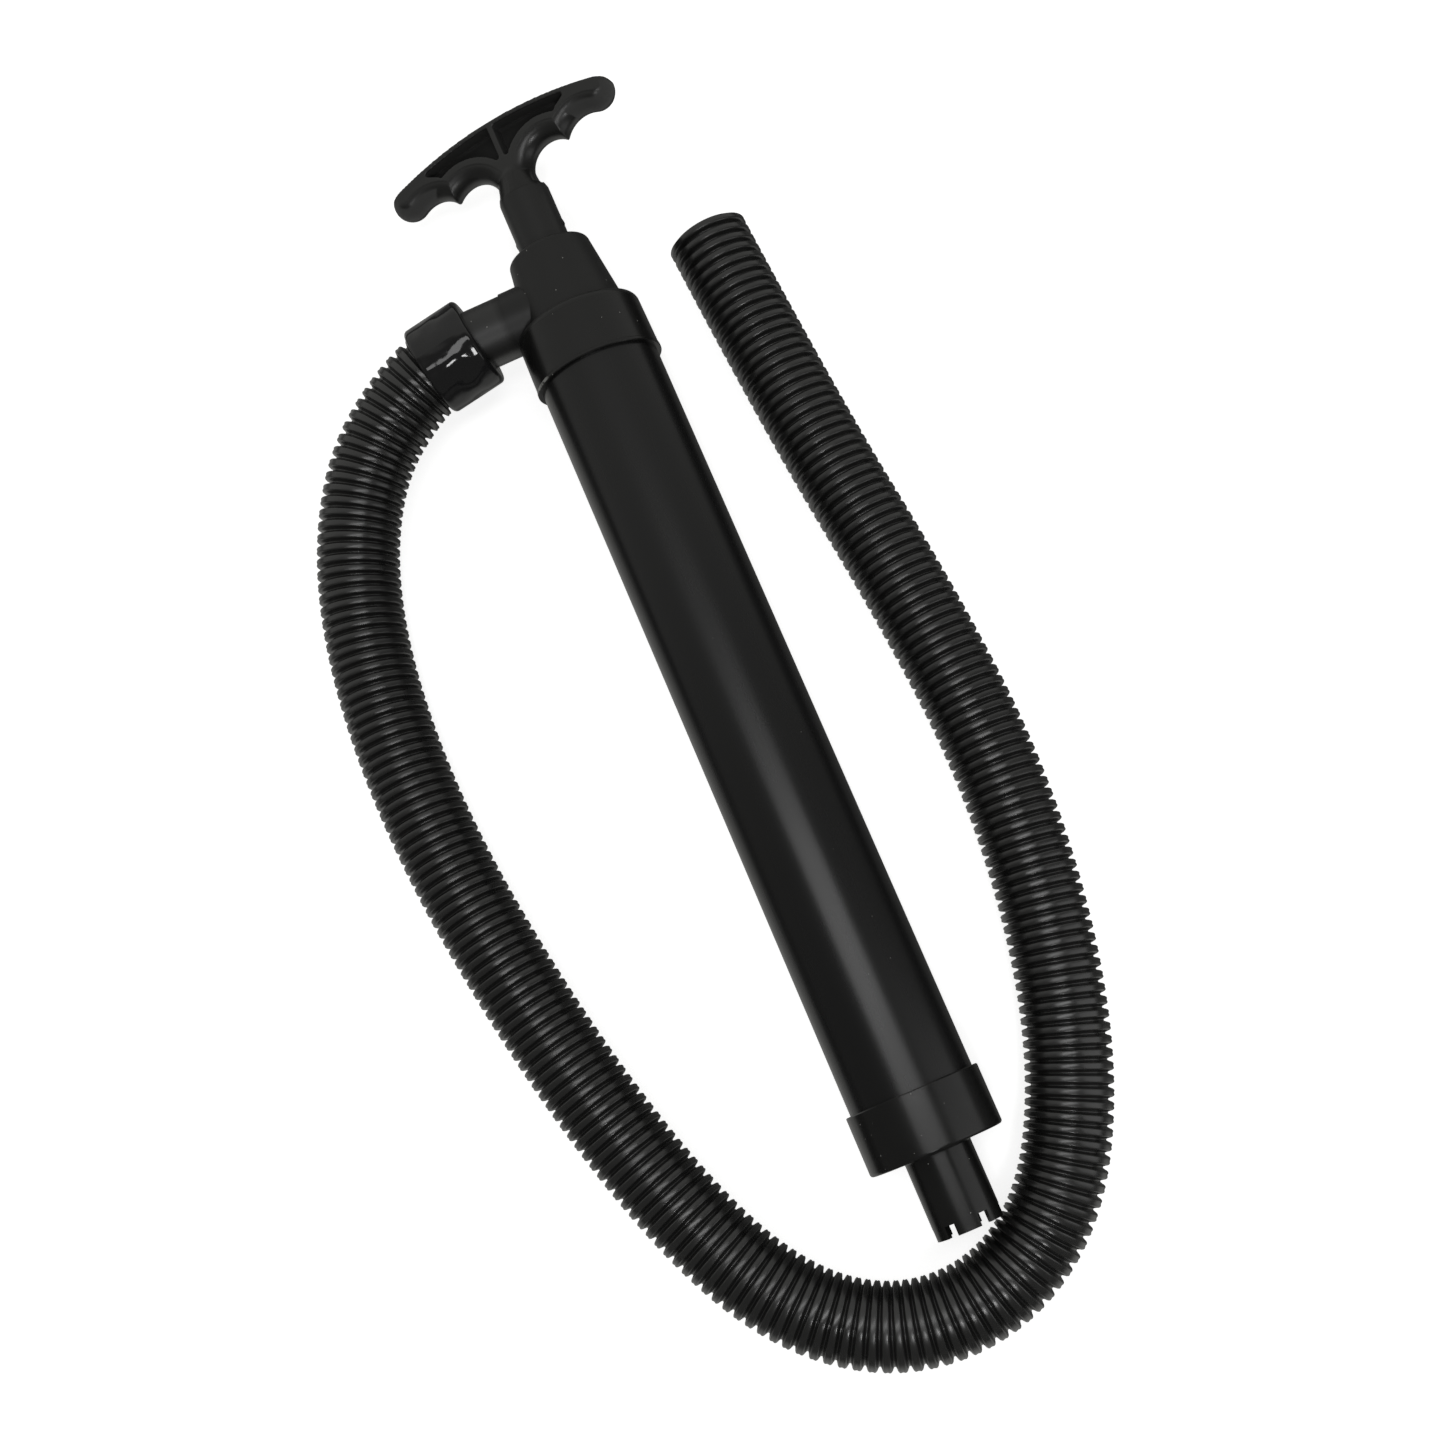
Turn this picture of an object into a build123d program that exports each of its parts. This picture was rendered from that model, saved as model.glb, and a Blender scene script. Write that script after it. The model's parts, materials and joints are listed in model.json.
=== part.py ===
from build123d import *
import os
from math import cos, hypot, pi, radians, sin, tan

# A hand bilge pump, lying on its side. The barrel runs along Y, with the handle
# towards +Y and the intake towards -Y. X is across the pump and Z is up. The
# origin is on the ground, under the middle of the pump's length. Millimetres.

os.makedirs("parts", exist_ok=True)

# ---- driving dimensions --------------------------------------------------------
BARREL_OD = 50.8
BARREL_ID = 46.0
CAP_OD = 54.8
OVERALL = 492.0
SHAFT_OD = 22.0
SHAFT_ID = 17.0
RUN_FIT = 0.05                      # radial clearance of every sliding fit
FACE_GAP = 0.05                     # gap between faces that open and close

AXIS_Z = CAP_OD / 2                 # both caps rest on the ground
BARREL_R = BARREL_OD / 2
BORE_R = BARREL_ID / 2
SHAFT_R = SHAFT_OD / 2
TIP_Y = -OVERALL / 2                # end of the intake
TOP_Y = OVERALL / 2                 # top of the handle's arch

# bottom cap and intake
FOOT_RIM_Y = -190.1
FOOT_FACE_Y = -214.4
FOOT_FLOOR = 3.5
SPIGOT_OD = 27.2
SPIGOT_BORE = 22.4
NOTCHES = 6
NOTCH_DEPTH = 4.7
NOTCH_WIDTH = 4.4

# top cap and outlet
HEAD_RIM_Y = 126.4
HEAD_FACE_Y = 152.0
HEAD_LIP = 1.6                      # length of the raised lip at the sleeve's rim
HEAD_LIP_HEIGHT = 0.25
HEAD_TAPER = 0.5                    # the sleeve is this much slimmer at its shoulder
HEAD_ROOF = 2.0
COLLAR_TOP_Y = 184.0
COLLAR_BASE_R = 22.0
COLLAR_TOP_R = 17.6
CHAMBER_BASE_R = 17.0
CHAMBER_TOP_R = 14.5
ARM_Y = 161.4
ARM_OD = 26.6
ARM_ROOT_OD = 27.8
ARM_ROOT_X = -26.0
ARM_BORE = 20.0
ARM_TIP_X = -52.5
BARB_HEIGHT = 0.5

# gaskets at the barrel's ends, shaft bush and wiper
GASKET = 1.5
BUSH_Y = 173.0
WIPER_Y = 180.5
GLAND_R = 14.0

# cuff and hose
CUFF_OD = 39.2
CUFF_LENGTH = 25.2
CUFF_X = -40.7                      # middle of the cuff's face on the outlet's side
CUFF_EDGE_R = 2.1
CUFF_SWING = 8.0                    # degrees that the cuff leans towards the intake
CUFF_DROP = 4.0                     # degrees that it leans down
HOSE_OD = 34.4
HOSE_ID = 28.6
HOSE_END_X = -56.0
LAY_Z = HOSE_OD / 2

# plunger
SHAFT_TOP_Y = 210.8
SHAFT_FOOT_Y = -178.5
STACK_Y = -198.5                    # lowest face of the piston, pushed in
PISTON_R = 20.5
CUP_LIP_R = 20.9
CUP_HEIGHT = 11.0
HUB_R = 6.0
PORTS = 6
PORT_R = 3.3
PORT_CIRCLE_R = 12.0
VALVE_R = 17.0
VALVE_THICK = 2.0
BUMP_R = 20.0
BUMP_THICK = 8.0
PIN_Y = 193.0
PIN_R = 1.6

# handle
GRIP_TURN = 14.1                    # degrees about the shaft, right end up
GRIP_HALF = 54.7
ARCH_R = 178.0
ARCH_CORNER = 4.0                   # rounding of the arch's two ends
SLAB = 13.6                         # thickness of the grip and its neck
LOBE = (46.7, 235.3, 8.0)           # centre x, y and radius of each end lobe
INNER_SCALLOP = (19.2, 216.2, 11.0)     # and of each finger scallop
OUTER_CENTRE = (37.7, 217.4)
LOBE_REACH = hypot(LOBE[0] - OUTER_CENTRE[0], LOBE[1] - OUTER_CENTRE[1])
OUTER_SCALLOP = (*OUTER_CENTRE, LOBE_REACH - LOBE[2])       # meets the lobe smoothly
POCKET_BORDER = 2.2                 # flat border between a pocket and the arch
POCKET_LOWER_R = 20.8               # the pocket's lower edge follows the inner scallop
POCKET_CORNER = (29.1, 236.1)
POCKET_TIP = (36.6, 240.3)
POCKET_CORNER_R = 1.0
BACK_WALL = 6.0                     # closes the pockets behind
RIB_WIDTH = 2.6
NECK_X = 12.0                       # the slab covers the neck out to here
NECK_FLARE = [(SHAFT_R, SHAFT_TOP_Y), (9.0, 217.4), (SLAB / 2 - 0.2, 224.0)]
FLARE_INSET = 0.4                   # keeps the flare inside the scallops
PLUG_LENGTH = 34.0


# ---- helpers -------------------------------------------------------------------
def along_y(x, y, z):
    """Plane whose normal is +Y, with its origin at the given point."""
    return Plane(origin=(x, y, z), x_dir=(1, 0, 0), z_dir=(0, 1, 0))


def rod(radius, y0, y1, x=0.0, z=AXIS_Z):
    """Solid cylinder along Y."""
    return extrude(along_y(x, y0, z) * Circle(radius), y1 - y0)


def ring(outer, inner, y0, y1):
    """Tube along the pump's axis."""
    return rod(outer, y0, y1) - rod(inner, y0 - 1, y1 + 1)


def taper(r0, r1, y0, y1):
    """Cone along the pump's axis, radius r0 at y0 and r1 at y1."""
    section = Polygon((0, y0), (r0, y0), (r1, y1), (0, y1), align=None)
    return Pos(0, 0, AXIS_Z) * revolve(section, Axis.Y)


def turned(*points):
    """Solid turned about the pump's axis from (radius, y) points."""
    return Pos(0, 0, AXIS_Z) * revolve(Polygon(*points, align=None), Axis.Y)


def ports(y0, y1, radius, circle, count):
    """Round holes on a circle, as solids to cut."""
    holes = []
    for i in range(count):
        angle = radians(360 * i / count)
        holes.append(rod(radius, y0, y1, circle * cos(angle), AXIS_Z + circle * sin(angle)))
    return holes


def save(shape, name):
    """Write one sub-part."""
    export_step(shape, f"parts/{name}.step")
    print(f"{name:20s} {shape.volume / 1000:9.3f} cm3")


# ---- barrel and its gaskets ----------------------------------------------------
foot_floor_y = FOOT_FACE_Y + FOOT_FLOOR
barrel_foot_y = foot_floor_y + GASKET
head_roof_y = HEAD_FACE_Y - HEAD_ROOF
barrel_top_y = head_roof_y - GASKET

barrel = ring(BARREL_R, BORE_R, barrel_foot_y, barrel_top_y)
save(barrel, "barrel_tube")
save(ring(BARREL_R, BORE_R, foot_floor_y, barrel_foot_y), "bottom_gasket")
save(ring(BARREL_R, BORE_R, barrel_top_y, head_roof_y), "top_gasket")


# ---- bottom cap with its castellated intake -------------------------------------
def bottom_cap():
    shell = rod(CAP_OD / 2, FOOT_FACE_Y, FOOT_RIM_Y)
    shell = fillet(shell.edges().group_by(Axis.Y)[0], 1.2)
    shell -= rod(BARREL_R, foot_floor_y, FOOT_RIM_Y + 1)
    rim = shell.edges().group_by(Axis.Y)[-1].sort_by(SortBy.LENGTH)[-1]
    shell = chamfer(rim, 0.4)
    shell += rod(SPIGOT_OD / 2, TIP_Y, FOOT_FACE_Y + 0.5)
    shell += turned((SPIGOT_OD / 2 - 1, FOOT_FACE_Y + 0.5), (SPIGOT_OD / 2 + 0.9, FOOT_FACE_Y + 0.5),
                    (SPIGOT_OD / 2, FOOT_FACE_Y - 0.9), (SPIGOT_OD / 2 - 1, FOOT_FACE_Y - 0.9))
    shell -= rod(SPIGOT_BORE / 2, TIP_Y - 1, foot_floor_y + 1)
    for i in range(NOTCHES):
        bar = Box(NOTCH_WIDTH, 2 * NOTCH_DEPTH, CAP_OD / 2, align=(Align.CENTER, Align.CENTER, Align.MIN))
        turn = 360 * (i + 0.5) / NOTCHES
        shell -= Pos(0, TIP_Y, AXIS_Z) * Rot(0, turn, 0) * Pos(0, 0, SPIGOT_BORE / 4) * bar
    return shell


save(bottom_cap(), "bottom_cap")


# ---- foot valve ------------------------------------------------------------------
seat_thick = 3.0
seat_top_y = foot_floor_y + seat_thick
lift = 3.4
stem_r = 2.0
stem_hole_r = 2.3
stem_head_y = seat_top_y + FACE_GAP + VALVE_THICK + lift

seat = rod(BORE_R - 0.1, foot_floor_y, seat_top_y)
for hole in ports(foot_floor_y - 1, seat_top_y + 1, 2.6, 7.4, 6):
    seat -= hole
seat -= rod(stem_r, foot_floor_y - 1, seat_top_y + 1)
save(seat, "foot_valve_seat")
save(Pos(0, seat_top_y + FACE_GAP, 0) * ring(14.0, stem_hole_r, 0, VALVE_THICK), "foot_valve_disc")

stem = rod(stem_r, foot_floor_y - 1.5, stem_head_y)
stem += rod(4.5, stem_head_y, stem_head_y + 1.5)
stem += rod(3.4, foot_floor_y - 1.5, foot_floor_y)
save(stem, "foot_valve_stem")


# ---- top cap with its collar and outlet arm ----------------------------------------
def arm_rod(radius, x0, x1):
    """Solid cylinder along the outlet arm, from x0 leftwards to x1."""
    plane = Plane(origin=(x0, ARM_Y, AXIS_Z), x_dir=(0, 1, 0), z_dir=(-1, 0, 0))
    return extrude(plane * Circle(radius), x0 - x1)


def top_cap():
    rim_r = CAP_OD / 2
    sleeve_r = rim_r - HEAD_LIP_HEIGHT
    shell = taper(sleeve_r, sleeve_r - HEAD_TAPER, HEAD_RIM_Y, HEAD_FACE_Y)
    shell = fillet(shell.edges().group_by(Axis.Y)[-1], 3.2)
    lip_y = HEAD_RIM_Y + HEAD_LIP
    shell += turned((0, HEAD_RIM_Y), (rim_r - 0.3, HEAD_RIM_Y), (rim_r, HEAD_RIM_Y + 0.3),
                    (rim_r, lip_y - 0.3), (sleeve_r, lip_y), (0, lip_y))
    collar = taper(COLLAR_BASE_R, COLLAR_TOP_R, HEAD_FACE_Y - 3, COLLAR_TOP_Y)
    collar = fillet(collar.edges().group_by(Axis.Y)[-1], 2.0)
    shell += collar
    arm = arm_rod(ARM_OD / 2, 0, ARM_TIP_X) + arm_rod(ARM_ROOT_OD / 2, 0, ARM_ROOT_X)
    for i in range(2):
        x = ARM_TIP_X + 1.5 + 4.5 * i
        plane = Plane(origin=(x, ARM_Y, AXIS_Z), x_dir=(0, 1, 0), z_dir=(1, 0, 0))
        wide = plane * Circle(ARM_OD / 2 + BARB_HEIGHT)
        slim = plane.offset(3.0) * Circle(ARM_OD / 2)
        arm += loft([wide, slim])
    shell += arm
    shell -= rod(BARREL_R, HEAD_RIM_Y - 1, head_roof_y)
    shell -= taper(CHAMBER_BASE_R, CHAMBER_TOP_R, head_roof_y - 1, BUSH_Y)
    shell -= rod(GLAND_R, BUSH_Y - 1, COLLAR_TOP_Y - 1)
    shell -= rod(SHAFT_R + 0.6, COLLAR_TOP_Y - 2, COLLAR_TOP_Y + 1)
    shell -= arm_rod(ARM_BORE / 2, -SHAFT_R - 1, ARM_TIP_X - 1)
    return shell


save(top_cap(), "top_cap")
save(ring(GLAND_R, SHAFT_R + RUN_FIT, BUSH_Y, WIPER_Y), "shaft_bush")
wiper = ring(GLAND_R, SHAFT_R + 1.2, WIPER_Y, COLLAR_TOP_Y - 1)
wiper += turned((SHAFT_R + RUN_FIT, WIPER_Y + 0.4), (SHAFT_R + 1.3, WIPER_Y), (SHAFT_R + 1.3, WIPER_Y + 2.2),
                (SHAFT_R + RUN_FIT, WIPER_Y + 1.2))
save(wiper, "shaft_wiper")


# ---- cuff and hose -------------------------------------------------------------------
swing = radians(CUFF_SWING)
drop = radians(CUFF_DROP)


def cuff_point(x):
    """Point of the cuff's own axis at a given x."""
    return (x, ARM_Y + (x - CUFF_X) * tan(swing), AXIS_Z + (x - CUFF_X) * tan(drop))


def cuff_plane(x):
    """Plane square to the cuff's axis, facing the hose."""
    return Plane(origin=cuff_point(x), x_dir=(0, 0, 1), z_dir=(-1, -tan(swing), -tan(drop)))


def hose_cuff():
    body = extrude(cuff_plane(CUFF_X) * Circle(CUFF_OD / 2), CUFF_LENGTH)
    body = fillet(body.edges().filter_by(GeomType.CIRCLE), CUFF_EDGE_R)
    body -= arm_rod(ARM_OD / 2, CUFF_X + 5, ARM_TIP_X - 0.5)
    body -= arm_rod(ARM_BORE / 2, ARM_TIP_X, HOSE_END_X - 3)
    body -= extrude(cuff_plane(HOSE_END_X) * Circle(HOSE_OD / 2), CUFF_LENGTH)
    return body


save(hose_cuff(), "hose_cuff")

ROUTE = [
    cuff_point(HOSE_END_X),
    cuff_point(-72.0),
    (-110.0, 129.5, 22.0),
    (-134.5, 72.0, 18.0),
    (-139.5, -15.0, LAY_Z),
    (-125.0, -115.0, LAY_Z),
    (-102.5, -197.7, LAY_Z),
    (-77.0, -247.0, LAY_Z),
    (-42.0, -272.5, LAY_Z),
    (-1.0, -274.0, LAY_Z),
    (34.3, -252.7, LAY_Z),
    (59.8, -209.0, LAY_Z),
    (75.9, -152.0, LAY_Z),
    (83.2, -84.0, LAY_Z),
    (79.5, -12.0, LAY_Z),
    (69.0, 78.0, LAY_Z),
    (63.5, 167.3, LAY_Z),
]


def corner_radii(points):
    """Arc radius at each corner: 0.45 of the shorter run over the tangent of half the turn."""
    radii = []
    for before, corner, after in zip(points, points[1:], points[2:]):
        run_in = Vector(corner) - Vector(before)
        run_out = Vector(after) - Vector(corner)
        half_turn = radians(run_in.get_angle(run_out)) / 2
        radii.append(0.45 * min(run_in.length, run_out.length) / tan(half_turn))
    return radii


radii = corner_radii(ROUTE)
print("hose radii", [round(r) for r in radii])
line = FilletPolyline(*ROUTE, radius=radii)
section = Plane(origin=line @ 0, z_dir=line % 0)
hose = sweep(section * Circle(HOSE_OD / 2), path=line) - sweep(section * Circle(HOSE_ID / 2), path=line)
save(hose, "hose")
hose_area = pi * (HOSE_OD ** 2 - HOSE_ID ** 2) / 4
swept = hose.volume / hose_area / line.length
print("hose length", round(line.length, 1), "volume over section x length", round(swept, 4))


# ---- plunger: piston stack, end plug and bump stop --------------------------------------------
screw_r = 2.5
washer_y = STACK_Y + 3.0
clamp_y = washer_y + 1.5
cup_y = clamp_y + 3.0
head_y = cup_y + 2.0 + 2 * FACE_GAP
head_top_y = head_y + 5.0
hub_top_y = head_top_y + 20.0
clamp_boss_r = 16.3

screw = rod(5.0, STACK_Y, washer_y) + rod(screw_r, washer_y, hub_top_y + 6)
screw = fillet(screw.edges().group_by(Axis.Y)[0], 1.2)
slot = Box(1.2, 3.0, 12.0)
screw -= Pos(0, STACK_Y, AXIS_Z) * slot
save(screw, "piston_screw")
save(ring(8.0, screw_r, washer_y, clamp_y), "piston_washer")

clamp = ring(20.0, screw_r, clamp_y, cup_y)
head = ring(PISTON_R, screw_r, head_y, head_top_y)
head += ring(clamp_boss_r, screw_r, cup_y, head_y)
head += ring(HUB_R, screw_r, head_top_y, hub_top_y)
for hole in ports(clamp_y - 1, head_top_y + 1, PORT_R, PORT_CIRCLE_R, PORTS):
    clamp -= hole
    head -= hole
save(clamp, "piston_clamp_plate")
save(head, "piston_head")

lip_r = BORE_R - RUN_FIT
cup = turned((clamp_boss_r + 0.15, cup_y + FACE_GAP), (lip_r - 1.2, cup_y + FACE_GAP),
             (lip_r, cup_y + 1.4), (lip_r, cup_y + CUP_HEIGHT), (lip_r - 0.8, cup_y + CUP_HEIGHT),
             (CUP_LIP_R, cup_y + 3.5), (CUP_LIP_R, cup_y + 2 + FACE_GAP),
             (clamp_boss_r + 0.15, cup_y + 2 + FACE_GAP))
save(cup, "piston_cup")
save(Pos(0, head_top_y + FACE_GAP, 0) * ring(VALVE_R, HUB_R + 0.3, 0, VALVE_THICK), "piston_valve_disc")

plug = rod(SHAFT_ID / 2, SHAFT_FOOT_Y, SHAFT_FOOT_Y + 30)
plug -= rod(HUB_R, SHAFT_FOOT_Y - 1, hub_top_y)
plug -= rod(screw_r, hub_top_y - 1, hub_top_y + 6)
save(plug, "shaft_end_plug")

bump_y = SHAFT_FOOT_Y + 2.5
bump = ring(BUMP_R, SHAFT_R, bump_y, bump_y + BUMP_THICK)
bump = fillet(bump.edges().sort_by(SortBy.LENGTH)[-2:], 1.5)
save(bump, "bump_stop")
print("stroke to the roof", round(head_roof_y - bump_y - BUMP_THICK, 2))
print("valve lift", round(SHAFT_FOOT_Y - head_top_y - FACE_GAP - VALVE_THICK, 2), round(lift, 2))


# ---- handle ------------------------------------------------------------------------------
# The grip is a thick slab. Its finger side is rounded to a half round along the scallops and
# about the end lobes, and its arch keeps crisp edges. Two deep pockets in its front leave a
# back wall, a rib in the middle and a border under the arch.
half_slab = SLAB / 2
arch_y = TOP_Y - ARCH_R


def plate(sketch, depth):
    """A flat shape, x across and y along the pump, made into a slab about the pump's axis."""
    return extrude(Plane.XY.offset(AXIS_Z - depth / 2) * sketch, depth, dir=(0, 0, 1))


def arch_outline():
    """Everything under the arch, with its two ends rounded."""
    outline = Pos(0, arch_y) * Circle(ARCH_R) & Pos(0, TOP_Y) * Rectangle(2 * GRIP_HALF + 0.2, 90)
    corners = outline.vertices().group_by(Axis.Y)[-1]
    return fillet(corners, ARCH_CORNER)


def slab_outline():
    """Right half of the slab's flat part, before its scallops are cut."""
    x, y, radius = LOBE
    edge_x = x + radius - half_slab
    points = [(0, SHAFT_TOP_Y), (NECK_X, SHAFT_TOP_Y), INNER_SCALLOP[:2], OUTER_CENTRE, (x, y), (edge_x, y),
              (edge_x, TOP_Y + 10), (0, TOP_Y + 10)]
    return Polygon(*points, align=None)


def end_edge():
    """Half round edge at the grip's end, above its lobe."""
    x, y, radius = LOBE
    return rod(half_slab, y, TOP_Y + 10, x + radius - half_slab)


def lobe():
    """Half round edge about the grip's end, from the outer scallop to the tip."""
    x, y, radius = LOBE
    flat_r = radius - half_slab
    section = Pos(flat_r, 0) * Circle(half_slab) & Pos(radius, 0) * Rectangle(2 * radius, 2 * SLAB)
    section += Pos(flat_r / 2, 0) * Rectangle(flat_r, SLAB)
    whole = Pos(x, y, AXIS_Z) * revolve(Plane.XZ * section, Axis.Z)
    wedge = Polygon((x, y), OUTER_CENTRE, (x + SLAB, OUTER_CENTRE[1]), (x + SLAB, y), align=None)
    return whole & plate(wedge, SLAB + 1)


def scallop_cut(spec):
    """What a finger scallop takes away: its hole and the corner outside its half round edge."""
    x, y, radius = spec
    middle_r = radius + half_slab
    cut = Cylinder(middle_r, SLAB + 2) - Torus(middle_r, half_slab)
    return Pos(x, y, AXIS_Z) * cut


def pocket():
    """Right pocket's outline."""
    slope = (POCKET_TIP[1] - POCKET_CORNER[1]) / (POCKET_TIP[0] - POCKET_CORNER[0])
    side = RIB_WIDTH / 2
    top = TOP_Y + 5
    far_x = POCKET_TIP[0] + (top - POCKET_TIP[1]) / slope
    x, y, _ = INNER_SCALLOP
    outline = Polygon((side, y), (side, top), (far_x, top), POCKET_CORNER, (x, y), align=None)
    outline -= Pos(x, y) * Circle(POCKET_LOWER_R)
    outline &= Pos(0, arch_y) * Circle(ARCH_R - POCKET_BORDER)
    return fillet(outline.vertices(), POCKET_CORNER_R)


def grip_half():
    """Right half of the grip."""
    half = plate(slab_outline(), SLAB)
    half -= scallop_cut(INNER_SCALLOP)
    half -= scallop_cut(OUTER_SCALLOP)
    half += lobe() + end_edge()
    half &= plate(arch_outline(), SLAB + 1)
    floor_z = AXIS_Z - half_slab + BACK_WALL
    return half - extrude(Plane.XY.offset(floor_z) * pocket(), SLAB, dir=(0, 0, 1))


def neck_flare():
    """Flare from the neck out to the shaft, cut away where the inner scallops pass it."""
    low, middle, high = NECK_FLARE
    side = ThreePointArc(low, middle, high)
    outline = side + Polyline(high, (0, high[1]), (0, low[1]), low)
    flare = Pos(0, 0, AXIS_Z) * revolve(make_face(outline), Axis.Y)
    x, y, radius = INNER_SCALLOP
    for side_x in (x, -x):
        flare -= Pos(side_x, y, AXIS_Z) * Cylinder(radius + FLARE_INSET, SHAFT_OD + 2)
    return flare


def handle():
    right = grip_half()
    grip = right + mirror(right, Plane.YZ)
    grip += neck_flare()
    grip += rod(SHAFT_ID / 2, SHAFT_TOP_Y - PLUG_LENGTH, SHAFT_TOP_Y + 0.5)
    return grip


shaft_line = Axis((0, 0, AXIS_Z), (0, 1, 0))
pin_plane = Plane(origin=(-SHAFT_R - 0.35, PIN_Y, AXIS_Z), x_dir=(0, 1, 0), z_dir=(1, 0, 0))
pin = extrude(pin_plane * Circle(PIN_R), SHAFT_OD + 0.7)
pin = fillet(pin.edges().filter_by(GeomType.CIRCLE), 0.3).rotate(shaft_line, -GRIP_TURN)
grip = handle().rotate(shaft_line, -GRIP_TURN) - pin
save(grip, "handle")
save(pin, "handle_pin")
shaft = ring(SHAFT_R, SHAFT_ID / 2, SHAFT_FOOT_Y, SHAFT_TOP_Y) - pin
save(shaft, "plunger_shaft")

box = grip.bounding_box()
print("handle x", round(box.min.X, 2), round(box.max.X, 2), "top y", round(box.max.Y, 2))
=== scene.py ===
import json
from bisect import bisect_right
from math import ceil, cos, hypot, pi, radians, sin

import bpy
from mathutils import Matrix, Vector


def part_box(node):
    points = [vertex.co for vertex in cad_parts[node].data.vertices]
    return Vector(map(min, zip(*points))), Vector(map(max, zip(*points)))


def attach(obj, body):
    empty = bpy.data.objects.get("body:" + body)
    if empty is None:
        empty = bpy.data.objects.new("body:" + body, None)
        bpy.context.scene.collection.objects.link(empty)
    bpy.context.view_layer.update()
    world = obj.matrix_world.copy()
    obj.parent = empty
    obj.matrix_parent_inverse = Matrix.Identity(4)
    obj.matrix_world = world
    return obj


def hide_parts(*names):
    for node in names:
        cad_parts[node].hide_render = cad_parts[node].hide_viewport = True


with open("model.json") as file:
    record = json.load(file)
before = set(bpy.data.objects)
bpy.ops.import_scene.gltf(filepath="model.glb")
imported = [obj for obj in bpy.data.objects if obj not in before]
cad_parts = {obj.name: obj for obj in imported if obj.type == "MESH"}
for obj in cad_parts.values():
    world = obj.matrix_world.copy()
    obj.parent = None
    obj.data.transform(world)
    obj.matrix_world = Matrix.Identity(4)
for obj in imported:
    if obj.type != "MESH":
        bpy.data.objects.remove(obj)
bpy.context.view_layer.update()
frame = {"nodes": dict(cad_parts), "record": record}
NODES = frame["nodes"]
MM = 0.001

# ---- sizes, in metres ------------------------------------------------------------
barrel_low, barrel_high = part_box("barrel_tube")
AXIS_Z = (barrel_low[2] + barrel_high[2]) / 2
HEAD_RIM_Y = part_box("top_cap")[0][1]
shaft_low, shaft_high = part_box("plunger_shaft")
SHAFT_R = (shaft_high[0] - shaft_low[0]) / 2
SHAFT_TOP_Y = shaft_high[1]
HOSE_OD = 34.4 * MM
HOSE_R = HOSE_OD / 2

# The grip in its own plane, in millimetres and degrees.
GRIP_TURN = 14.1                # turn of the plane about the shaft, from level
ARCH_Y = 68.0                   # centre of the arched flange
ARCH_INNER_R = 175.9            # where the pockets end under the flange
SCALLOP_WALL_R = 20.6           # where they end round the inner scallop
POCKET_TOP = 5.9                # depth just under the flat face
POCKET_FLOOR = -0.8             # depth of the pockets' floors
# x, y and radius where each scallop's rounding ends
FACE_EDGES = [(19.2, 216.2, 17.6), (37.7, 217.4, 18.6)]
FACE_STEP = 0.4                 # half the width of the step at that edge

# The neck's foot, where it is pressed into the shaft's end.
NECK_SLOPE = 0.28               # how fast the neck narrows above the shaft
NECK_DEPTH = 1.0 * MM           # how far down into the shaft it is trimmed
NECK_FLUSH = 2.2 * MM           # how far up it is brought level
NECK_SEAM = 0.3 * MM            # height of the seam; all below it is kept inside the shaft
NECK_INSET = 0.15 * MM
NECK_TUCK = 0.4 * MM
NECK_SKIN = 1.7 * MM            # thickness of the outer layer that moves

# Places where the top cap's finish changes: it starts to at the first number and has at the second.
COLLAR_Y = (0.1485, 0.1515)             # the matt collar above the sleeve
RIM_HIGHLIGHT_BAND = (0.0007, 0.0004)           # from the middle of the painted highlight along the rim's edge
RIM_HIGHLIGHT_X = (-0.0190, -0.0205)
RIM_HIGHLIGHT_Z = (0.033, 0.036)
SLEEVE_SIDE_X = (-0.0235, -0.0250)      # the sleeve's dull side, next to the outlet
SLEEVE_LOW_Y = (0.120, 0.125)
SLEEVE_HIGH_Y = (0.1465, 0.1445)
ARM_X = (-0.0270, -0.0300)              # the glossy outlet arm

# The same for the dull skin of the grip's neck.
NECK_ACROSS = (0.0115, 0.0100)
NECK_Y = (0.2235, 0.2205)


# ---- camera ----------------------------------------------------------------------
def camera():
    """Looks down at the pump from above its intake, with the handle up and to the left."""
    data = bpy.data.cameras.new("camera")
    data.sensor_width = 36.0
    data.lens = 53.57
    right = Vector((0.9146, -0.3882, -0.1128))
    up = Vector((0.4022, 0.9021, 0.1565))
    back = right.cross(up).normalized()
    turn = Matrix((right, back.cross(right), back)).transposed()
    place = (0.0245, -0.1901, 0.8694)
    eye = bpy.data.objects.new("camera", data)
    eye.matrix_world = Matrix.Translation(place) @ turn.to_4x4()
    bpy.context.scene.collection.objects.link(eye)
    bpy.context.scene.camera = eye


camera()


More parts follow.
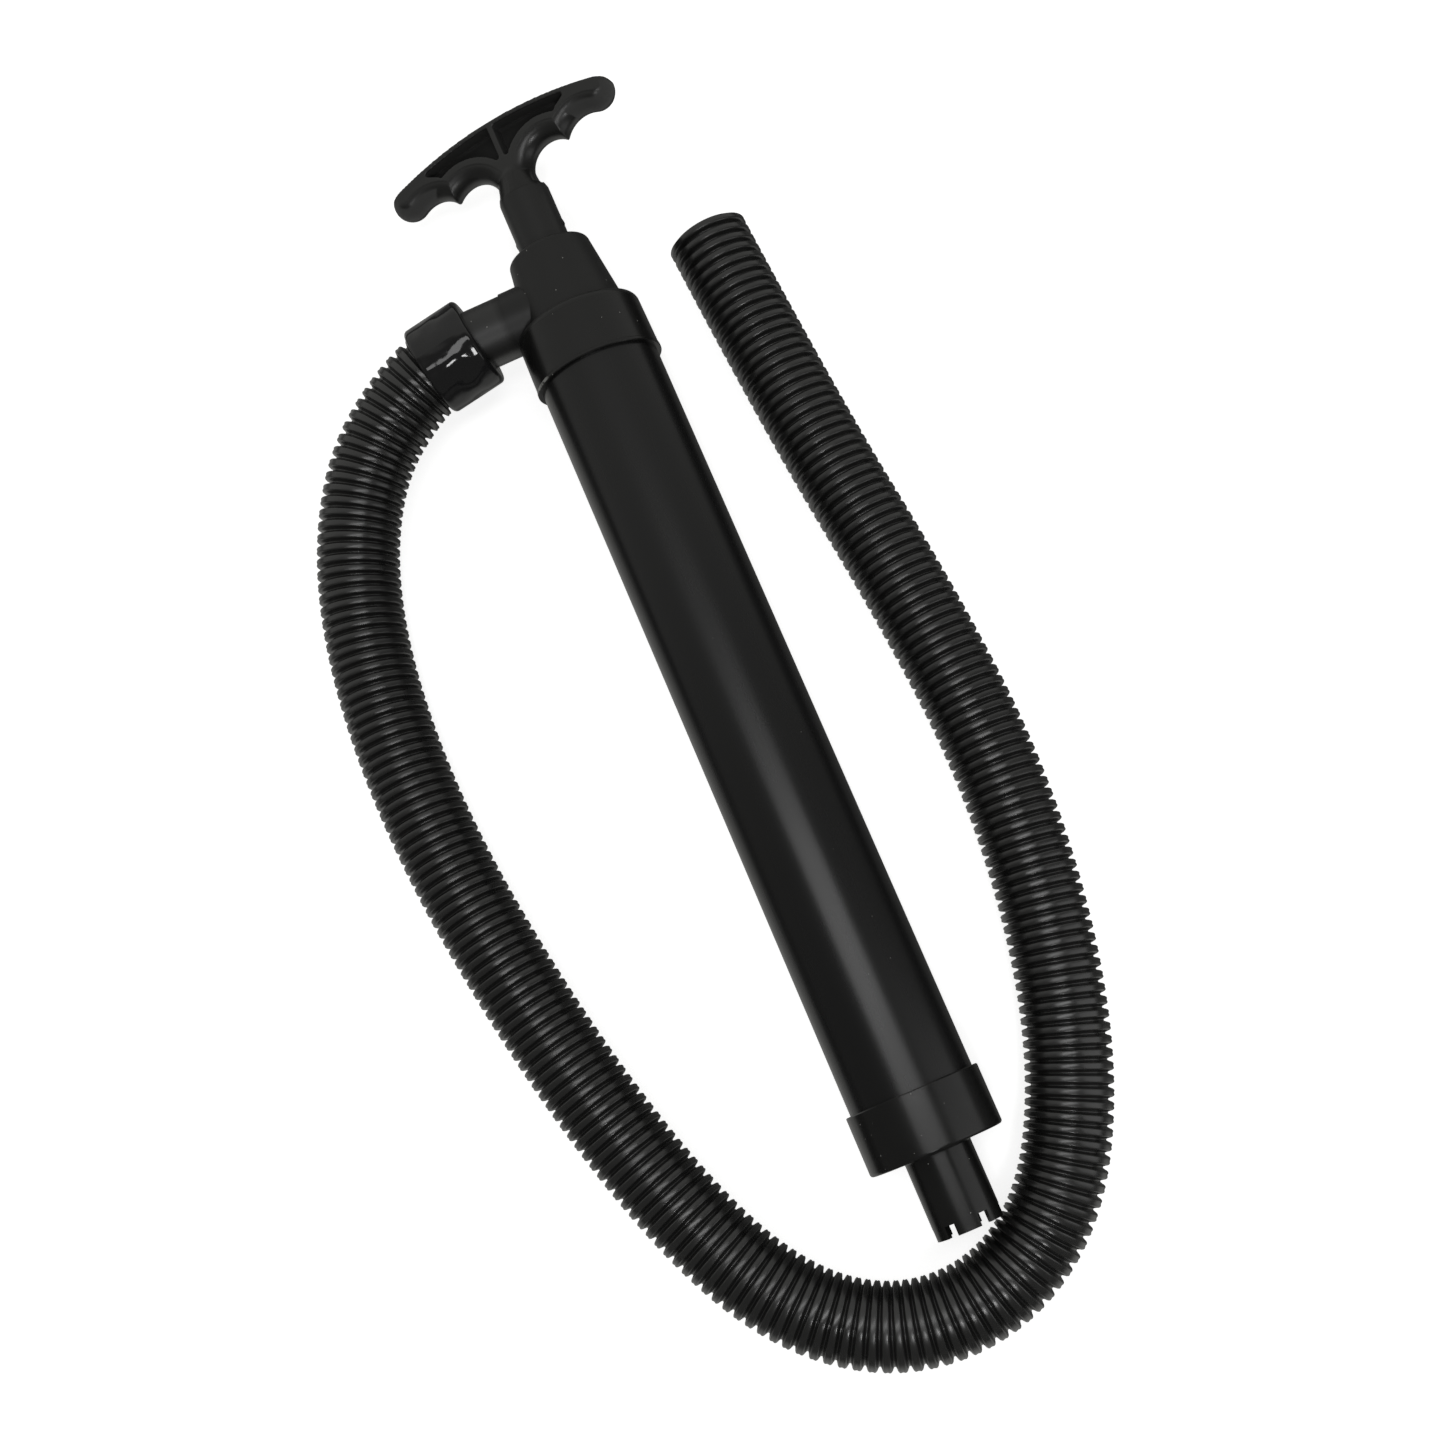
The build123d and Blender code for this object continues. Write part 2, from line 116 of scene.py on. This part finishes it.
# ---- materials --------------------------------------------------------------------
class Surface:
    """A procedural material with a Principled shader, built up feature by feature."""

    def __init__(self, name, colour, roughness, specular=0.5):
        self.mat = bpy.data.materials.new(name)
        self.mat.use_nodes = True
        self.tree = self.mat.node_tree
        self.shader = self.tree.nodes["Principled BSDF"]
        self.colour = self.rgb(colour)
        self.rough = roughness
        self.height = None
        self.shine = specular
        self.where = self.add("ShaderNodeTexCoord").outputs["Object"]

    def add(self, kind, **settings):
        node = self.tree.nodes.new(kind)
        for key, setting in settings.items():
            setattr(node, key, setting)
        return node

    def plug(self, source, socket):
        if isinstance(source, (int, float, tuple)):
            socket.default_value = source
        else:
            self.tree.links.new(source, socket)

    def rgb(self, colour):
        return (*colour, 1.0)

    def math(self, operation, a, b=0.0):
        node = self.add("ShaderNodeMath", operation=operation)
        self.plug(a, node.inputs[0])
        self.plug(b, node.inputs[1])
        return node.outputs[0]

    def stretched(self, scale):
        node = self.add("ShaderNodeMapping")
        node.inputs["Scale"].default_value = scale
        self.tree.links.new(self.where, node.inputs["Vector"])
        return node.outputs["Vector"]

    def noise(self, scale, detail, stretch=None):
        node = self.add("ShaderNodeTexNoise")
        node.inputs["Scale"].default_value = scale
        node.inputs["Detail"].default_value = detail
        self.plug(self.stretched(stretch) if stretch else self.where, node.inputs["Vector"])
        return node.outputs["Fac"]

    def between(self, source, low, high, out_low=0.0, out_high=1.0):
        node = self.add("ShaderNodeMapRange")
        self.plug(source, node.inputs["Value"])
        for key, number in zip(("From Min", "From Max", "To Min", "To Max"), (low, high, out_low, out_high)):
            node.inputs[key].default_value = number
        return node.outputs["Result"]

    def axis(self, letter):
        node = self.add("ShaderNodeSeparateXYZ")
        self.tree.links.new(self.where, node.inputs[0])
        return node.outputs[letter]

    def past(self, letter, start, full):
        """Mask along an axis: 0 up to start and 1 from full on."""
        return self.between(self.axis(letter), start, full)

    def both(self, *masks):
        """1 only where every mask is."""
        product = masks[0]
        for mask in masks[1:]:
            product = self.math("MULTIPLY", product, mask)
        return product

    def tint(self, mask, colour):
        """Mixes a colour in where the mask is 1."""
        node = self.add("ShaderNodeMix", data_type="RGBA")
        self.plug(mask, node.inputs["Factor"])
        self.plug(self.colour, node.inputs["A"])
        self.plug(self.rgb(colour), node.inputs["B"])
        self.colour = node.outputs["Result"]

    def roughen(self, source, low, high):
        """Roughness runs from low to high with the source."""
        self.rough = self.between(source, 0.3, 0.7, low, high)

    def rough_where(self, mask, roughness):
        node = self.add("ShaderNodeMix", data_type="FLOAT")
        self.plug(mask, node.inputs[0])
        self.plug(self.rough, node.inputs[2])
        node.inputs[3].default_value = roughness
        self.rough = node.outputs[0]

    def shine_where(self, mask, specular):
        """Brings the shine to the given specular level where the mask is 1."""
        node = self.add("ShaderNodeMix", data_type="FLOAT")
        self.plug(mask, node.inputs[0])
        self.plug(self.shine, node.inputs[2])
        node.inputs[3].default_value = specular
        self.shine = node.outputs[0]

    def relief(self, source, depth):
        """Raises the surface by depth, in metres, times the source."""
        raised = self.math("MULTIPLY", source, depth)
        self.height = raised if self.height is None else self.math("ADD", self.height, raised)

    def specks(self, density, size, share):
        """Mask of small specks: one in some of the cells of a random grid."""
        node = self.add("ShaderNodeTexVoronoi", feature="F1")
        node.inputs["Scale"].default_value = density
        self.tree.links.new(self.where, node.inputs["Vector"])
        near = self.math("LESS_THAN", node.outputs["Distance"], size * density)
        picked = self.add("ShaderNodeSeparateColor")
        self.tree.links.new(node.outputs["Color"], picked.inputs[0])
        return self.both(near, self.math("LESS_THAN", picked.outputs[0], share))

    def done(self):
        self.plug(self.colour, self.shader.inputs["Base Color"])
        self.plug(self.rough, self.shader.inputs["Roughness"])
        self.plug(self.shine, self.shader.inputs["Specular IOR Level"])
        if self.height is not None:
            bump = self.add("ShaderNodeBump")
            bump.inputs["Distance"].default_value = 1.0
            self.tree.links.new(self.height, bump.inputs["Height"])
            self.tree.links.new(bump.outputs[0], self.shader.inputs["Normal"])
        return self.mat


def barrel_plastic():
    """Extruded tube: satin, with faint draw lines along its length and a little dust."""
    s = Surface("barrel_plastic", (0.0085, 0.0085, 0.0086), 0.27)
    s.roughen(s.noise(60, 3, (1, 0.12, 1)), 0.25, 0.29)
    s.relief(s.noise(900, 2, (1, 0.02, 1)), 0.000006)
    s.relief(s.noise(14, 1), 0.00006)
    s.tint(s.specks(density=300, size=0.00018, share=0.04), (0.16, 0.16, 0.15))
    return s.done()


def cap_plastic():
    """Moulded cap: satin, fine texture, dust specks and a painted highlight, broken up by noise, along the
    left part of the lower rim.
    """
    s = Surface("cap_plastic", (0.009, 0.009, 0.0087), 0.25)
    s.roughen(s.noise(80, 3), 0.22, 0.28)
    s.rough_where(s.past("Y", *COLLAR_Y), 0.46)
    # Painted highlight: a pale line, broken up by noise, is painted into the colour along the left part of
    # the top cap's lower rim, where the rim's edge catches the light.
    edge_y = HEAD_RIM_Y + RIM_HIGHLIGHT_BAND[0]
    from_edge = s.math("ABSOLUTE", s.math("SUBTRACT", s.axis("Y"), edge_y))
    painted_rim_highlight = s.both(s.between(from_edge, *RIM_HIGHLIGHT_BAND), s.past("X", *RIM_HIGHLIGHT_X), s.past("Z", *RIM_HIGHLIGHT_Z))
    s.tint(s.both(painted_rim_highlight, s.between(s.noise(500, 1), 0.40, 0.52)), (0.30, 0.30, 0.285))
    sleeve = s.both(s.past("Y", *SLEEVE_LOW_Y), s.past("Y", *SLEEVE_HIGH_Y))
    s.shine_where(s.both(sleeve, s.past("X", *SLEEVE_SIDE_X)), 0.10)
    s.shine_where(s.past("X", *ARM_X), 0.80)
    s.relief(s.noise(2200, 2), 0.000004)
    s.relief(s.noise(18, 1), 0.00008)
    s.tint(s.specks(density=400, size=0.00022, share=0.12), (0.34, 0.34, 0.32))
    return s.done()


class GripFrame:
    """Distances in the grip's own plane, which is turned about the shaft."""

    def __init__(self, s):
        turn = radians(GRIP_TURN)
        up = s.math("SUBTRACT", s.axis("Z"), AXIS_Z)
        along = s.math("ADD", s.math("MULTIPLY", s.axis("X"), cos(turn)),
                       s.math("MULTIPLY", up, sin(turn)))
        self.s = s
        self.across = s.math("ABSOLUTE", along)
        self.depth = s.math("SUBTRACT", s.math("MULTIPLY", up, cos(turn)),
                            s.math("MULTIPLY", s.axis("X"), sin(turn)))

    def reach(self, x, y):
        """Distance from a point of the plane, given in millimetres."""
        dx = self.s.math("SUBTRACT", self.across, x * MM)
        dy = self.s.math("SUBTRACT", self.s.axis("Y"), y * MM)
        squares = self.s.math("ADD", self.s.math("MULTIPLY", dx, dx), self.s.math("MULTIPLY", dy, dy))
        return self.s.math("SQRT", squares)

    def face_edge(self):
        """1 on the flat faces and 0 on the rounded finger side, with a small step between them."""
        steps = []
        for x, y, radius in FACE_EDGES:
            inner, outer = (radius - FACE_STEP) * MM, (radius + FACE_STEP) * MM
            steps.append(self.s.between(self.reach(x, y), inner, outer))
        return self.s.math("MINIMUM", *steps)

    def pocket_floors(self):
        """1 on the floors of the pockets."""
        return self.s.between(self.depth, (POCKET_FLOOR + 0.7) * MM, (POCKET_FLOOR + 0.3) * MM)

    def pockets(self):
        """1 on the walls and floors of the two pockets."""
        x, y, _ = FACE_EDGES[0]
        outside_scallop = self.s.between(self.reach(x, y), (SCALLOP_WALL_R - 0.4) * MM, SCALLOP_WALL_R * MM)
        under_arch = self.s.between(self.reach(0.0, ARCH_Y), (ARCH_INNER_R + 0.3) * MM, ARCH_INNER_R * MM)
        below_face = self.s.between(self.depth, (POCKET_TOP + 0.4) * MM, POCKET_TOP * MM)
        above_back = self.s.between(self.depth, (POCKET_FLOOR - 0.8) * MM, (POCKET_FLOOR - 0.5) * MM)
        return self.s.both(outside_scallop, under_arch, below_face, above_back)


def grip_plastic():
    """Handle: semi-gloss moulding, with a small raised step where the flat faces meet the scallops'
    rounding.
    """
    s = Surface("grip_plastic", (0.012, 0.012, 0.0115), 0.32, specular=0.65)
    s.roughen(s.noise(70, 3), 0.29, 0.36)
    s.relief(s.noise(1500, 2), 0.000005)
    s.relief(s.noise(35, 1), 0.00010)
    place = GripFrame(s)
    s.relief(place.face_edge(), 0.00012)
    pockets = place.pockets()
    # Painted light and shade: the pockets' walls and floors get a paler grey than the grip's own colour,
    # standing in for light in the deep pockets, and the floors get a darker grey than the walls as painted
    # shade.
    s.tint(pockets, (0.06, 0.06, 0.059))
    s.tint(s.both(pockets, place.pocket_floors()), (0.025, 0.025, 0.0245))
    s.rough_where(pockets, 0.6)
    s.shine_where(pockets, 0.15)
    neck = s.both(s.between(place.across, *NECK_ACROSS), s.past("Y", *NECK_Y))
    s.shine_where(neck, 0.40)
    s.tint(s.specks(density=160, size=0.00020, share=0.08), (0.25, 0.24, 0.22))
    return s.done()


def shaft_plastic():
    """Plunger shaft: satin tube with light rubbing lines along it."""
    s = Surface("shaft_plastic", (0.013, 0.013, 0.0127), 0.38)
    s.roughen(s.noise(120, 3, (1, 0.05, 1)), 0.34, 0.42)
    s.relief(s.noise(1400, 2, (1, 0.02, 1)), 0.000006)
    s.tint(s.specks(density=140, size=0.00018, share=0.08), (0.25, 0.25, 0.24))
    return s.done()


def hose_plastic():
    """Corrugated hose: satin ribs with a slightly uneven, dusty gloss."""
    s = Surface("hose_plastic", (0.013, 0.013, 0.0127), 0.27, specular=0.9)
    s.roughen(s.noise(45, 3), 0.22, 0.34)
    s.relief(s.noise(500, 2), 0.000015)
    s.tint(s.specks(density=120, size=0.00018, share=0.06), (0.16, 0.16, 0.16))
    return s.done()


def cuff_vinyl():
    """Dipped vinyl cuff: wet gloss over a gently wavy surface."""
    s = Surface("cuff_vinyl", (0.014, 0.014, 0.0145), 0.06)
    s.roughen(s.noise(90, 2), 0.05, 0.09)
    s.relief(s.noise(70, 1), 0.0022)
    s.relief(s.noise(260, 1), 0.00008)
    return s.done()


def seal_rubber():
    """Moulded rubber: matt, with a fine grain."""
    s = Surface("seal_rubber", (0.020, 0.020, 0.020), 0.62)
    s.relief(s.noise(1200, 3), 0.00002)
    s.roughen(s.noise(150, 2), 0.55, 0.72)
    return s.done()


def acetal():
    """Turned white plastic of the bush and the piston."""
    s = Surface("acetal", (0.62, 0.61, 0.58), 0.36)
    s.relief(s.noise(900, 2), 0.000006)
    s.roughen(s.noise(90, 2), 0.30, 0.44)
    return s.done()


def pin_plastic():
    """Matt black pin."""
    s = Surface("pin_plastic", (0.008, 0.008, 0.008), 0.45)
    s.relief(s.noise(1500, 2), 0.000008)
    s.roughen(s.noise(200, 2), 0.40, 0.52)
    return s.done()


def stainless():
    """Brushed stainless steel."""
    s = Surface("stainless", (0.56, 0.56, 0.55), 0.28)
    s.shader.inputs["Metallic"].default_value = 1.0
    s.relief(s.noise(2500, 2, (1, 0.1, 1)), 0.000004)
    s.roughen(s.noise(300, 2), 0.22, 0.36)
    return s.done()


FINISH = {
    "barrel": barrel_plastic(),
    "cap": cap_plastic(),
    "grip": grip_plastic(),
    "shaft": shaft_plastic(),
    "hose": hose_plastic(),
    "cuff": cuff_vinyl(),
    "seal_rubber": seal_rubber(),
    "bush": acetal(),
    "pin": pin_plastic(),
    "steel": stainless(),
}


def finish_nodes():
    """Gives every carried-over node the material of its slot."""
    for entry in frame["record"]["subparts"]:
        node = NODES[entry["node"]]
        for place in node.material_slots:
            place.material = FINISH[entry["material_slot"]]
        if not node.material_slots:
            node.data.materials.append(FINISH[entry["material_slot"]])


finish_nodes()


def link(name, mesh, finish):
    """New smooth-shaded object with one material."""
    obj = bpy.data.objects.new(name, mesh)
    bpy.context.scene.collection.objects.link(obj)
    mesh.materials.clear()
    mesh.materials.append(FINISH[finish])
    for face in mesh.polygons:
        face.use_smooth = True
    return obj


# ---- hose --------------------------------------------------------------------------
# Points that the hose's middle line bends round, in millimetres, from the outlet to the free end.
ROUTE = [
    (-56.0, 159.25, 26.33),
    (-72.0, 157, 25.21),
    (-110.0, 129.5, 22.0),
    (-134.5, 72.0, 18.0),
    (-139.5, -15.0, 17.2),
    (-125.0, -115.0, 17.2),
    (-102.5, -197.7, 17.2),
    (-77.0, -247.0, 17.2),
    (-42.0, -272.5, 17.2),
    (-1.0, -274.0, 17.2),
    (34.3, -252.7, 17.2),
    (59.8, -209.0, 17.2),
    (75.9, -152.0, 17.2),
    (83.2, -84.0, 17.2),
    (79.5, -12.0, 17.2),
    (69.0, 78.0, 17.2),
    (63.5, 167.3, 17.2),
]
RIB_PITCH = 4.73 * MM
RIB_SHARE = 0.73                # share of the pitch that the rib takes
GROOVE = 2.5 * MM
# Each rib's shoulder, as (share of the pitch in from the rib's side, share of the groove under the crest).
RIB_SHOULDER = [(0.0, 0.60), (0.05, 0.30), (0.12, 0.09), (0.20, 0.0)]
CREST_DIP = 0.10
GROOVE_SIDE = 0.08
GROOVE_DEPTH = 0.96
HOSE_BORE_R = 13.3 * MM
SIDES = 56


def route_line():
    """Points along the hose's middle line, read from the smooth spline through the route."""
    curve = bpy.data.curves.new("route", "CURVE")
    curve.dimensions = "3D"
    curve.resolution_u = 48
    spline = curve.splines.new("NURBS")
    spline.points.add(len(ROUTE) - 1)
    for place, (x, y, z) in zip(spline.points, ROUTE):
        place.co = (x * MM, y * MM, z * MM, 1.0)
    spline.order_u = 3
    spline.use_endpoint_u = True
    obj = bpy.data.objects.new("route", curve)
    bpy.context.scene.collection.objects.link(obj)
    mesh = bpy.data.meshes.new_from_object(obj.evaluated_get(bpy.context.evaluated_depsgraph_get()))
    points = [v.co.copy() for v in mesh.vertices]
    bpy.data.objects.remove(obj)
    bpy.data.meshes.remove(mesh)
    return points


class Line:
    """A curve in space that can be read at any distance along it."""

    def __init__(self, points):
        self.points = points
        self.at = [0.0]
        for a, b in zip(points, points[1:]):
            self.at.append(self.at[-1] + (b - a).length)
        self.length = self.at[-1]
        self.normals = self.carried_normals()

    def tangent_near(self, i):
        a = self.points[max(i - 1, 0)]
        b = self.points[min(i + 1, len(self.points) - 1)]
        return (b - a).normalized()

    def carried_normals(self):
        """A side direction at each point, carried along the line without twisting."""
        along = self.tangent_near(0)
        side = along.cross(Vector((0, 0, 1))).normalized()
        sides = [side]
        for i in range(1, len(self.points)):
            new = self.tangent_near(i)
            side = (along.rotation_difference(new) @ side).normalized()
            along = new
            sides.append(side)
        return sides

    def read(self, distance):
        """(point, side, up) at a distance from the start."""
        distance = min(max(distance, 0.0), self.length)
        low = min(bisect_right(self.at, distance), len(self.at) - 1) - 1
        high = low + 1
        t = (distance - self.at[low]) / max(self.at[high] - self.at[low], 1e-9)
        point = self.points[low].lerp(self.points[high], t)
        along = self.tangent_near(low).lerp(self.tangent_near(high), t).normalized()
        side = self.normals[low].lerp(self.normals[high], t)
        side = (side - along * side.dot(along)).normalized()
        return point, side, along.cross(side)


def rib_steps():
    """(share of a pitch, radius) steps of one rib and its groove. The crest has a faint dip."""
    low = 0.5 - RIB_SHARE / 2
    high = 0.5 + RIB_SHARE / 2
    steps = [(low + step, depth) for step, depth in RIB_SHOULDER]
    steps.append((0.5, CREST_DIP))
    steps += [(high - step, depth) for step, depth in reversed(RIB_SHOULDER)]
    steps += [(high + GROOVE_SIDE, GROOVE_DEPTH), (1.0 + low - GROOVE_SIDE, GROOVE_DEPTH)]
    return [(share, HOSE_R - depth * GROOVE) for share, depth in steps]


def skin(rings):
    """Closed surface through rings of points, the last ring joined back to the first."""
    verts = [p for ring in rings for p in ring]
    faces = []
    count = len(rings)
    for i in range(count):
        j = (i + 1) % count
        for k in range(SIDES):
            m = (k + 1) % SIDES
            faces.append((i * SIDES + k, i * SIDES + m, j * SIDES + m, j * SIDES + k))
    return verts, faces


def hose():
    """Corrugated hose: a closed skin of rings, over the ribs outside and back along the smooth bore."""
    line = Line(route_line())
    ribs = round(line.length / RIB_PITCH)
    pitch = line.length / ribs

    def ring(distance, radius):
        point, side, up = line.read(distance)
        turns = [2 * pi * k / SIDES for k in range(SIDES)]
        return [point + radius * (cos(a) * side + sin(a) * up) for a in turns]

    outside = []
    for i in range(ribs):
        for share, radius in rib_steps():
            distance = (i + share) * pitch
            if distance < line.length:
                outside.append(ring(distance, radius))
    start = [ring(0, HOSE_BORE_R), ring(0, HOSE_R - GROOVE)]
    end = [ring(line.length, HOSE_R - GROOVE * 0.9), ring(line.length, HOSE_BORE_R)]
    steps = ceil(line.length / (2 * RIB_PITCH))
    inside = [ring(line.length * (1 - i / steps), HOSE_BORE_R) for i in range(1, steps)]
    verts, faces = skin(start + outside + end + inside)
    mesh = bpy.data.meshes.new("ribbed_hose")
    mesh.from_pydata(verts, [], faces)
    mesh.validate()
    obj = link("ribbed_hose", mesh, "hose")
    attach(obj, "pump_body")
    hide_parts("hose")


hose()


# ---- handle --------------------------------------------------------------------------
def softened(node, name, voxel, rounds):
    """Copy of a part's mesh with every edge and inside corner blended, as a moulding has them."""
    mesh = NODES[node].data.copy()
    obj = bpy.data.objects.new(name, mesh)
    bpy.context.scene.collection.objects.link(obj)
    remesh = obj.modifiers.new("remesh", "REMESH")
    remesh.mode = "VOXEL"
    remesh.voxel_size = voxel
    smooth = obj.modifiers.new("smooth", "SMOOTH")
    smooth.factor = 0.5
    smooth.iterations = rounds
    solid = bpy.data.meshes.new_from_object(obj.evaluated_get(bpy.context.evaluated_depsgraph_get()))
    bpy.data.objects.remove(obj)
    bpy.data.meshes.remove(mesh)
    return solid


def flush_neck(vertex):
    """Brings the neck's foot out level with the shaft that it is pressed into."""
    x, y, z = vertex.co
    radius = hypot(x, z - AXIS_Z)
    above = y - SHAFT_TOP_Y
    if not -NECK_DEPTH < above < NECK_FLUSH:
        return
    hidden = above < NECK_SEAM
    level = SHAFT_R - (NECK_INSET if hidden else NECK_SLOPE * above)
    if radius > level - NECK_SKIN:
        grow = level / radius
        tuck = NECK_TUCK if hidden else 0.0
        vertex.co = (x * grow, y - tuck, AXIS_Z + (z - AXIS_Z) * grow)


def handle():
    """T-grip with softened edges, its neck flush with the shaft."""
    mesh = softened("handle", "handle_soft", voxel=0.42 * MM, rounds=5)
    for vertex in mesh.vertices:
        flush_neck(vertex)
    obj = link("t_handle", mesh, "grip")
    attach(obj, "plunger")
    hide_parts("handle")


handle()


# ---- floor and light -------------------------------------------------------------------
def floor():
    """Plain white floor. Its own glow keeps it white, and the pump's gloss shows the room, not the floor."""
    size = 4.0
    mesh = bpy.data.meshes.new("floor")
    corners = [(-size, -size, 0), (size, -size, 0), (size, size, 0), (-size, size, 0)]
    mesh.from_pydata(corners, [], [(0, 1, 2, 3)])
    obj = bpy.data.objects.new("floor", mesh)
    bpy.context.scene.collection.objects.link(obj)
    obj.visible_glossy = False
    mat = bpy.data.materials.new("floor")
    mat.use_nodes = True
    shader = mat.node_tree.nodes["Principled BSDF"]
    shader.inputs["Base Color"].default_value = (0.86, 0.86, 0.86, 1)
    shader.inputs["Roughness"].default_value = 1.0
    shader.inputs["Specular IOR Level"].default_value = 0.0
    shader.inputs["Emission Color"].default_value = (1, 1, 1, 1)
    shader.inputs["Emission Strength"].default_value = 0.78
    mesh.materials.append(mat)


def softbox(name, place, aim, width, depth, power):
    """Rectangular area light at a place, facing another."""
    data = bpy.data.lights.new(name, "AREA")
    data.shape = "RECTANGLE"
    data.size = width
    data.size_y = depth
    data.energy = power
    obj = bpy.data.objects.new(name, data)
    facing = (Vector(place) - Vector(aim)).to_track_quat("Z", "Y").to_matrix().to_4x4()
    obj.matrix_world = Matrix.Translation(place) @ facing
    bpy.context.scene.collection.objects.link(obj)


def room():
    """Studio room: pale walls beyond the handle, dim ones behind the camera, dark below the table's edge."""
    world = bpy.data.worlds.new("room")
    bpy.context.scene.world = world
    world.use_nodes = True
    tree = world.node_tree
    where = tree.nodes.new("ShaderNodeTexCoord")
    split = tree.nodes.new("ShaderNodeSeparateXYZ")
    tree.links.new(where.outputs["Generated"], split.inputs[0])

    def ramp(source, start, end, low, high):
        """Strength that runs from low to high as the direction runs from start to end."""
        node = tree.nodes.new("ShaderNodeMapRange")
        node.interpolation_type = "SMOOTHSTEP"
        tree.links.new(source, node.inputs["Value"])
        for key, number in (("From Min", start), ("From Max", end), ("To Min", low), ("To Max", high)):
            node.inputs[key].default_value = number
        return node.outputs["Result"]

    def join(operation, a, b):
        node = tree.nodes.new("ShaderNodeMath")
        node.operation = operation
        for source, socket in ((a, node.inputs[0]), (b, node.inputs[1])):
            if isinstance(source, float):
                socket.default_value = source
            else:
                tree.links.new(source, socket)
        return node.outputs[0]

    x, y, z = split.outputs
    far_wall = ramp(y, 0.10, 0.36, 0.09, 0.42)
    above = join("MULTIPLY", far_wall, ramp(z, -0.24, -0.12, 0.0, 1.0))
    sides = join("MAXIMUM", ramp(x, -0.50, 0.20, 0.40, 0.06), ramp(y, -0.50, -0.15, 0.45, 0.0))
    table = join("MULTIPLY", ramp(z, -0.55, -0.25, 1.0, 0.0), sides)
    total = join("ADD", join("ADD", above, table), 0.03)
    tree.links.new(total, tree.nodes["Background"].inputs["Strength"])
    tree.nodes["Background"].inputs["Color"].default_value = (1.0, 1.0, 0.965, 1)


floor()
room()
softbox("key", (0.085, -0.02, 1.9), (0.085, -0.02, 0), width=1.37, depth=0.40, power=5.5)
softbox("side", (0.62, -0.46, 0.46), (0.0, -0.46, 0.46), width=0.58, depth=0.88, power=1.04)
softbox("low front", (-0.08, -1.0, 1.6), (0.0, 0.1, 0.0), width=0.26, depth=0.26, power=3.6)
bpy.context.scene.view_settings.view_transform = "Standard"
